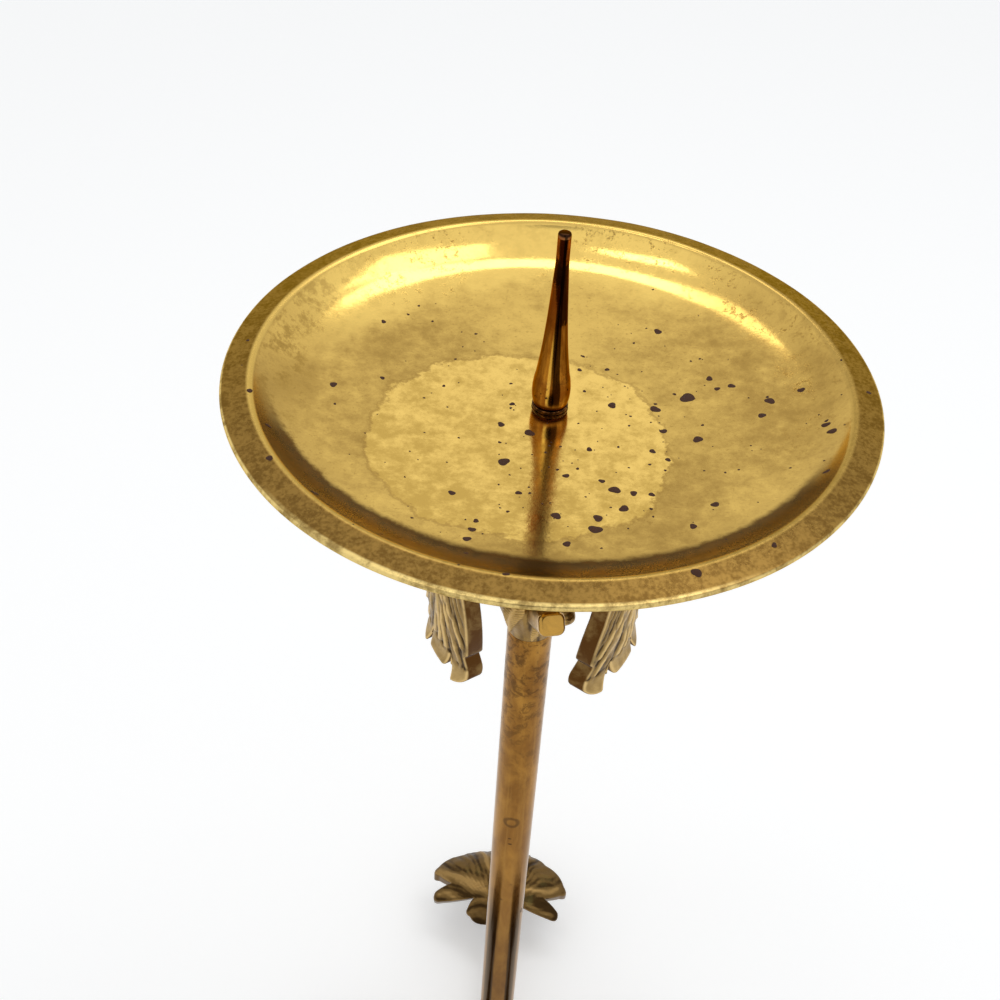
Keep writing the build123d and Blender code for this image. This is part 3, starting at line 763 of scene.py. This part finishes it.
def edge_line(corners, step):
    """A closed leaf outline from half its (along, across, bow) corners, evenly stepped and softened."""
    half = []
    for (u, v, _), (u2, v2, bow) in zip(corners[:-1], corners[1:]):
        a, b = np.array([u, v]), np.array([u2, v2])
        length = norm(b - a)
        out = np.array([-(b - a)[1], (b - a)[0]]) / length
        n = max(2, int(length / 0.15))
        for k in range(n):
            t = k / n
            half.append(a + (b - a) * t + out * bow * 4 * t * (1 - t))
    half.append(np.array(corners[-1][:2]))
    half = np.array(half)
    other = half[::-1] * [1, -1]
    loop = np.vstack([half, other[1:-1]])
    for _ in range(3):
        loop = (np.roll(loop, 1, 0) + 2 * loop + np.roll(loop, -1, 0)) / 4
    return evened(np.vstack([loop, loop[:1]]), step, loop=True)


def reach(points, starts, ends):
    """Least distance from each point to a set of line stretches."""
    best = np.full(len(points), 1e9)
    for a, b in zip(starts, ends):
        d = b - a
        t = np.clip(((points - a) @ d) / max(d @ d, 1e-9), 0, 1)
        best = np.minimum(best, norm(points - a - t[:, None] * d, axis=1))
    return best


def leaf_mesh(outline, centre, place, ribs, rib_width, fan, toe, thickness, edge_radius, relief_mm):
    """A thick cast leaf: a ribbed face over, a plain face under and a rounded, filed edge.

    place turns flat leaf places and an offset into points of the stand's frame. fan is the place where
    the fine veins start, how many fit in a full turn about it and how high they stand. toe, if there is
    one, tells how far a place lies past the crease of a smooth lobe end.
    """
    count = len(outline)
    shares = 1 - (1 - np.linspace(0, 1, 30)) ** 1.5
    flat = np.vstack([[centre]] + [centre + s * (outline - centre) for s in shares[1:]])
    inset = reach(flat, outline, np.roll(outline, -1, 0))
    bend = np.clip(1 - inset / edge_radius, 0, 1)
    drop = edge_radius * (1 - np.sqrt(1 - bend ** 2))
    # Ribs and veins wander a little
    u, v, level = flat[:, 0], flat[:, 1], 0 * flat[:, 0]
    drift = np.stack([wave(u, v, level, 53, 17), wave(u, v, level, 54, 17)], 1)
    rib = reach(flat + 0.8 * rib_width * drift, *np.swapaxes(np.array(ribs, float), 0, 1))
    form = 0.7 * np.exp(-(rib / rib_width) ** 2) - 0.25 * np.exp(-((rib - 2.4 * rib_width) / rib_width) ** 2)
    past = toe(flat) if toe else level - thickness
    blunt = np.clip(past / 0.8, 0, 1)
    form = form * (1 - blunt) + 0.3 * blunt - 0.7 * np.exp(-(past / 0.4) ** 2)
    fade = np.clip((inset - 0.25) / 1.2, 0, 1)
    start, veins_in_turn, vein_mm = fan
    away = flat - start
    turn = np.arctan2(away[:, 1], away[:, 0]) / (2 * pi) * veins_in_turn
    turn = turn + 0.3 * wave(u, v, level, 55, 11)
    strength = np.clip(np.hypot(away[:, 0], away[:, 1]) / 12 - 0.3, 0, 1) * fade * (1 - blunt)
    grit = 0.12 * wave(u, v, level, 51, 4)
    veins = vein_mm * strength * np.cos(2 * pi * turn)
    top = thickness / 2 - drop + relief_mm * (form + grit) * fade + veins
    bottom = -thickness / 2 + drop + 0.15 * relief_mm * grit * fade
    verts = np.vstack([place(flat, top), place(flat, bottom)])
    total = len(flat)
    upper = [(0, 1 + k, 1 + (k + 1) % count) for k in range(count)]
    for ring in range(len(shares) - 2):
        upper += flipped(ring_faces(1 + ring * count, 1 + (ring + 1) * count, count))
    faces = upper + [tuple(total + i for i in face[::-1]) for face in upper]
    last = 1 + (len(shares) - 2) * count
    rows = 4
    rim_first = len(verts)
    extra = []
    for row in range(1, rows):
        t = row / rows
        extra.append(verts[last:last + count] * (1 - t) + verts[total + last:total + last + count] * t)
    verts = np.vstack([verts] + extra)
    levels = [last] + [rim_first + i * count for i in range(rows - 1)] + [total + last]
    for a, b in zip(levels[:-1], levels[1:]):
        faces += flipped(ring_faces(a, b, count))
    # A bright line along the face's edge: a painted highlight where the rounded edge catches the light
    corner = 0.7 * np.exp(-(inset / 0.45) ** 2)
    filed_face = np.clip(1 - inset / 0.12, 0, 1)
    edge = np.ones((rows - 1) * count)
    values = {"relief": np.concatenate([form + 0.25 + corner, 0.2 + 0 * form, 0.4 * edge]),
              "filed": np.concatenate([filed_face, filed_face, edge]),
              "fan": np.concatenate([turn, turn, 0 * edge]),
              "veined": np.concatenate([4 * vein_mm * strength, 0 * strength, 0 * edge])}
    return verts, faces, values


def tube(path, radii, around=28):
    """A round bar along a path, closed at both ends."""
    path, radii = np.array(path, float), np.array(radii, float)
    way = np.gradient(path, axis=0)
    way /= norm(way, axis=1)[:, None]
    verts = []
    for p, d, r in zip(path, way, radii):
        side = np.cross(d, [0, 0, 1])
        if norm(side) < 1e-6:
            side = np.array([1.0, 0, 0])
        side /= norm(side)
        up = np.cross(side, d)
        for k in range(around):
            a = 2 * pi * k / around
            verts.append(p + r * (cos(a) * side + sin(a) * up))
    return np.array(verts), bar_faces(len(path), around)


def joined(parts):
    """Several point and face lists as one, with their stored values."""
    verts, faces = [], []
    for points, sides, _ in parts:
        first = sum(len(x) for x in verts)
        verts.append(points)
        faces += [tuple(i + first for i in face) for face in sides]
    values = {key: np.concatenate([part[2][key] for part in parts]) for key in parts[0][2]}
    return np.vstack(verts), faces, values


# Capital leaves

TURN_R, TURN_Z, TURN_RADIUS = 20.53, 275.99, 6.267
HANG_RADIUS = 321.15
LEAF_THICK = 4.4
QUARTER = TURN_RADIUS * pi / 2


def leaf_path(s, offset):
    """Radius and height on the arch of a capital leaf, s along it from its crest, offset outwards."""
    s = np.asarray(s, float)
    a = np.minimum(s, QUARTER) / TURN_RADIUS
    r = TURN_R + TURN_RADIUS * np.sin(a)
    z = TURN_Z + TURN_RADIUS * np.cos(a)
    nr, nz = np.sin(a), np.cos(a)
    b = np.maximum(s - QUARTER, 0) / HANG_RADIUS
    r = r - HANG_RADIUS * (1 - np.cos(b))
    z = z - HANG_RADIUS * np.sin(b)
    hang = s > QUARTER
    nr, nz = np.where(hang, np.cos(b), nr), np.where(hang, -np.sin(b), nz)
    return r + offset * nr, z + offset * nz


# The photograph's leaves are bent by hand: how far the two side lobes spread per millimetre of hang
LEAF_SPREAD = {"rear": (0.0, 0.0), "left": (0.0, 0.0), "right": (0.0, 0.11)}
# How much longer it hangs, in all and per millimetre across
LEAF_HANG = {"rear": (0.0, 0.0), "left": (-1.0, 0.12), "right": (-2.0, -0.22)}
LEAF_SHOULDER = 20.0
TOE_KICK = 0.06


def leaf_toe(flat):
    """How far a place of the leaf lies past the crease that sets off the smooth toe of its lobe."""
    return flat[:, 0] - np.where(np.abs(flat[:, 1]) > 5.6, 39.4, 38.0)


def on_leaf(flat, offset, spread, hang):
    y = flat[:, 1]
    longer = (hang[0] + hang[1] * y) * np.clip((flat[:, 0] - LEAF_SHOULDER) / 20, 0, 1)
    r, z = leaf_path(flat[:, 0] + longer, offset)
    r = r + TOE_KICK * np.maximum(leaf_toe(flat), 0) ** 2
    lobe = np.clip(np.abs(y) / 6 - 0.4, 0, 1) * np.maximum(flat[:, 0] - LEAF_SHOULDER, 0)
    y = y + np.where(y > 0, spread[0], -spread[1]) * lobe
    return np.stack([np.sqrt(np.maximum(r ** 2 - y ** 2, 0.01)), y, z], 1)


def leaf_stalk():
    climb = radians(62)
    root, rise = np.array([6.0, 262.0]), np.array([15.0, 278.93])
    path = [root + (rise - root) * t for t in np.linspace(0, 1, 9)]
    for t in np.linspace(0.1, 1, 8):
        a = pi / 2 + climb - t * climb
        path.append(np.array([TURN_R + TURN_RADIUS * cos(a), TURN_Z + TURN_RADIUS * sin(a)]))
    radii = [3.2] * len(path)
    for s in np.linspace(1.5, 30, 14):
        r, z = leaf_path(s, 0.9)
        path.append(np.array([float(r), float(z)]))
        radii.append(3.1 - 2.2 * min(1, s / 26))
    verts, faces = tube(np.array([(r, 0, z) for r, z in path]), radii)
    grain = 0.4 + 0.35 * np.sin(np.arctan2(verts[:, 1], 1.0) * 9 + verts[:, 2] * 0.9)
    return verts, faces, cast_values(len(verts), grain)


def leaf_pieces():
    corners = [(-3.0, 0, 0), (-3.0, 3.2, 0), (6.7, 4.4, -0.17), (11.8, 9.86, 0.78), (33.8, 11.2, 0.78),
               (35.3, 10.1, 0), (42.8, 11.2, 0.17), (45.8, 6.94, 0.78), (38.4, 4.7, 0.17),
               (42.3, 4.37, 0.17), (43.6, 3.58, 0.17), (43.6, 0, 0)]
    outline = edge_line(corners, 0.36)
    ribs = [((6.0, 0.0), (38.0, 0.0))]
    for s in (1, -1):
        ribs += [((12.0, s * 0.8), (40.0, s * 8.6)),
                 ((9.0, s * 1.2), (31.0, s * 9.4)),
                 ((20.0, s * 0.5), (37.5, s * 3.0))]
    fan = (-8.0, 0.0), 104, 0.2
    for place, degrees in LEAF_PLACES.items():
        def bent(flat, offset):
            return on_leaf(flat, offset, LEAF_SPREAD[place], LEAF_HANG[place])

        blade = leaf_mesh(outline, (6.0, 0.0), bent, ribs, 0.7, fan, leaf_toe, LEAF_THICK, 0.5, 0.55)
        cast_piece(f"capital_leaf_{place}", joined([blade, leaf_stalk()]), LEAF, degrees)


# Twig stubs: short cut twigs with rounded square ends

def stub_pieces():
    angle, root_r, reach_r, axis_h = 35.0, 8.8, 21.5, 7.7
    half_wide, half_high, corner, dome = 3.45, 3.15, 2.0, 1.2
    slope = radians(angle)
    root = np.array([root_r, 0, STEM_TOP + axis_h + root_r * tan(slope)])
    way = np.array([cos(slope), 0, sin(slope)])
    up = np.array([-sin(slope), 0, cos(slope)])
    side = np.array([0, 1.0, 0])
    length = (reach_r - root_r) / cos(slope)
    section = []
    for cx, cy, a0 in ((1, 1, 0), (-1, 1, 90), (-1, -1, 180), (1, -1, 270)):
        for k in range(9):
            a = radians(a0 + 90 * k / 8)
            section.append((cx * (half_wide - corner) + corner * cos(a),
                            cy * (half_high - corner) + corner * sin(a)))
    steps = list(np.linspace(0, length - dome, 16))
    shrink = [1.0] * len(steps)
    for k in range(1, 8):
        a = radians(90 * k / 7)
        steps.append(length - dome + dome * sin(a))
        shrink.append(1 - 0.30 * (1 - cos(a)))
    for share in (0.5, 0.3, 0.12):
        steps.append(length + 0.06 * (0.7 - share))
        shrink.append(share)
    verts, relief = [], []
    for step, size in zip(steps, shrink):
        for i, (u, v) in enumerate(section):
            groove = 0.10 * sin(i * 5.1 + step * 0.35) if size == 1.0 and step > 1 else 0.0
            turn = size * ((u + 0.02 * u * groove) * side + v * up)
            verts.append(root + way * step + turn + groove * up * 0.6)
            relief.append(0.55 + groove * 2)
    verts, faces = np.array(verts), bar_faces(len(steps), len(section))
    smooth_end = np.clip((verts @ way - (root @ way) - length + 4.5) / 3, 0, 1)
    values = cast_values(len(verts), np.array(relief) + 0.25 * smooth_end, smooth_end)
    for place, degrees in STUB_PLACES.items():
        cast_piece(f"twig_stub_{place}", (verts, faces, values), CORE, degrees)


# Leaf feet

FOOT_CREST_R, FOOT_CREST_Z, FOOT_CURVE_Z, FOOT_TWIST = 59.0, 29.0, -28.0, radians(-7.5)
FOOT_BACK_BEND, FOOT_FRONT_BEND, FOOT_THICK = 29.0, 17.41, 5.0


def foot_arch(s, offset):
    """Radius and height on the foot's arch, s along it from its crest, offset outwards from its middle."""
    bend = np.where(np.asarray(s) < 0, FOOT_BACK_BEND, FOOT_FRONT_BEND)
    arm = bend + offset - FOOT_THICK / 2
    return FOOT_CREST_R + arm * np.sin(s / bend), FOOT_CREST_Z - bend + arm * np.cos(s / bend)


def on_foot(flat, offset):
    u, v = flat[:, 0], flat[:, 1]
    s = u * cos(FOOT_TWIST) - v * sin(FOOT_TWIST)
    y = u * sin(FOOT_TWIST) + v * cos(FOOT_TWIST)
    x, high = foot_arch(s, offset)
    arm = high - FOOT_CURVE_Z
    z = FOOT_CURVE_Z + np.sqrt(np.maximum(arm ** 2 - y ** 2, 0))
    return np.stack([x, y, np.maximum(z, 0)], 1)


def foot_stalk():
    level, start, join = 13.5, 16.0, (51.0, 21.5)
    path = [(r, level) for r in np.linspace(4.6, start, 6)]
    bow = ((join[0] - start) ** 2 + (join[1] - level) ** 2) / (2 * (join[1] - level))
    path += [(r, level + bow - sqrt(bow ** 2 - (r - start) ** 2)) for r in np.linspace(20, 48, 12)]
    radii = [4.2] * len(path)
    for s in np.linspace(-6, 16, 10):
        r, z = foot_arch(s, 0.6)
        path.append((float(r), float(z)))
        radii.append(3.6 - 2.6 * (s + 6) / 22)
    verts, faces = tube(np.array([(r, 0, z) for r, z in path]), radii)
    grain = 0.45 + 0.3 * wave(verts[:, 0] * 0.3, verts[:, 1], verts[:, 2], 61, 4)
    return verts, faces, cast_values(len(verts), grain)


def foot_pieces():
    corners = [(-23.4, 0, 0), (-23.4, 4.2, 0), (-20.6, 9.4, 0.8), (-16.9, 11.0, 1.1), (-12.8, 9.1, 0.3),
               (-14.4, 22.5, 0.6), (-10.1, 26.1, 1.9), (-6.8, 19.8, 0.3), (-2.7, 25.8, 0.3),
               (2.1, 27.0, 1.9), (9.6, 18.2, 1.4), (14.7, 11.0, 0.8), (27.3, 8.8, 0.5), (39.4, 10.5, 0.5),
               (39.6, 0, 0)]
    outline = edge_line(corners, 0.55)
    ribs = [((-22.0, 0.0), (38.0, 0.0))]
    for s in (1, -1):
        ribs += [((-16.0, s * 1.0), (-12.0, s * 24.0)),
                 ((-13.0, s * 1.0), (-0.6, s * 25.0)),
                 ((-20.0, s * 1.0), (-18.6, s * 9.0)),
                 ((-7.0, s * 1.0), (12.0, s * 11.0))]
    fan = (-17.0, 0.0), 60, 0.09
    blade = leaf_mesh(outline, (-6.0, 0.0), on_foot, ribs, 1.5, fan, None, FOOT_THICK, 1.1, 0.5)
    # Lobes nearer the hub are darkened: painted shade on the lower lobes, which bend down into shadow
    blade[2]["relief"] -= 0.45 * np.clip((FOOT_CREST_R - 6 - blade[0][:, 0]) / 8, 0, 1)
    mesh = joined([blade, foot_stalk()])
    for place, degrees in LEAF_PLACES.items():
        cast_piece(f"leaf_foot_{place}", mesh, FOOT, degrees)


pan_piece()
spot_piece()
pricket_piece()
ring_piece()
stem_piece()
rod_piece()
nut_piece()
washer_piece()
hub_piece()
capital_piece()
leaf_pieces()
stub_pieces()
foot_pieces()


# Floor, light and camera

FLOOR_LEVEL, FLOOR_LIFT = -0.0002, 0.24
PHOTOGRAPHER = (0.0, -0.77, 0.64)


def seen_rays(tree):
    """1 where the camera or the metal looks, 0 for other light."""
    path = add_node(tree, "LightPath").outputs
    rays = {0: path["Is Camera Ray"], 1: path["Is Glossy Ray"]}
    return add_node(tree, "Math", rays, operation="MAXIMUM").outputs[0]


def colour_ramp(tree, value, stops):
    made = add_node(tree, "ValToRGB", {"Fac": value})
    for element, (position, colour) in zip(made.color_ramp.elements, stops):
        element.position, element.color = position, colour
    return made.outputs["Color"]


def floor_stage():
    mesh = bpy.data.meshes.new("floor")
    n, half = 24, 4.0
    ticks = np.linspace(-half, half, n + 1)
    verts = [(x, y, FLOOR_LEVEL) for y in ticks for x in ticks]
    faces = [(j * (n + 1) + i, j * (n + 1) + i + 1, (j + 1) * (n + 1) + i + 1, (j + 1) * (n + 1) + i)
             for j in range(n) for i in range(n)]
    mesh.from_pydata(verts, [], faces)
    floor = bpy.data.objects.new("floor", mesh)
    scene.collection.objects.link(floor)
    s = Shader("floor_white", Roughness=0.9, Specular_IOR_Level=0.1, Emission_Color=(1, 1, 1, 1))
    grain = s.node("TexNoise", {"Scale": 3.0}).outputs["Fac"]
    stops = ((0.0, (0.93, 0.93, 0.925, 1)), (1.0, (0.96, 0.96, 0.96, 1)))
    s.into(Base_Color=colour_ramp(s.tree, grain, stops))
    # The camera and the metal see the floor a little lighter, as the photograph's white ground
    s.into(Emission_Strength=s.times(seen_rays(s.tree), FLOOR_LIFT))
    mesh.materials.append(s.material)


def world_light():
    world = bpy.data.worlds.new("studio")
    scene.world = world
    world.use_nodes = True
    tree = world.node_tree
    tree.nodes.clear()
    soft = add_node(tree, "Background", {"Color": (0.97, 0.985, 1.0, 1), "Strength": 0.7})
    # Reflections show a dark place where the photographer stands
    place = add_node(tree, "TexCoord").outputs["Generated"]
    toward = add_node(tree, "VectorMath", {0: place, 1: PHOTOGRAPHER}, operation="DOT_PRODUCT")
    stops = ((0.95, (1, 1, 1, 1)), (0.985, (0.06, 0.055, 0.05, 1)))
    room = colour_ramp(tree, toward.outputs["Value"], stops)
    seen = add_node(tree, "Background", {"Color": room, "Strength": 1.0})
    both = {"Fac": seen_rays(tree), 1: soft.outputs[0], 2: seen.outputs[0]}
    mixed = add_node(tree, "MixShader", both).outputs[0]
    add_node(tree, "OutputWorld", {"Surface": mixed})


def softbox(name, place, aim, width, height, power):
    data = bpy.data.lights.new(name, "AREA")
    data.shape = "RECTANGLE"
    data.size, data.size_y, data.energy = width, height, power
    lamp = bpy.data.objects.new(name, data)
    scene.collection.objects.link(lamp)
    lamp.location = place
    lamp.rotation_euler = (Vector(aim) - Vector(place)).to_track_quat("-Z", "Y").to_euler()


def photo_camera():
    data = bpy.data.cameras.new("camera")
    data.sensor_fit = "HORIZONTAL"
    data.sensor_width = 36.0
    data.lens = 46.13
    camera = bpy.data.objects.new("camera", data)
    scene.collection.objects.link(camera)
    right, up = Vector((0.99852, 0.03006, 0.04558)), Vector((-0.05412, 0.65672, 0.75219))
    ahead = Vector((0.00732, 0.75354, -0.65736))
    turn = Matrix((right, up, -ahead)).transposed().to_4x4()
    camera.matrix_world = Matrix.Translation((-0.01277, -0.24358, 0.49857)) @ turn
    scene.camera = camera


floor_stage()
world_light()
softbox("left_box", (-0.36, -0.02, 1.65), (0, 0, 0.3), 0.2, 0.4, 0.7)
softbox("right_box", (0.55, 0.2, 1.45), (0, 0.05, 0.32), 0.5, 0.6, 1.7)
softbox("back_strip", (0.02, 0.27, 0.75), (0, 0.06, 0.32), 0.36, 0.13, 0.34)
photo_camera()
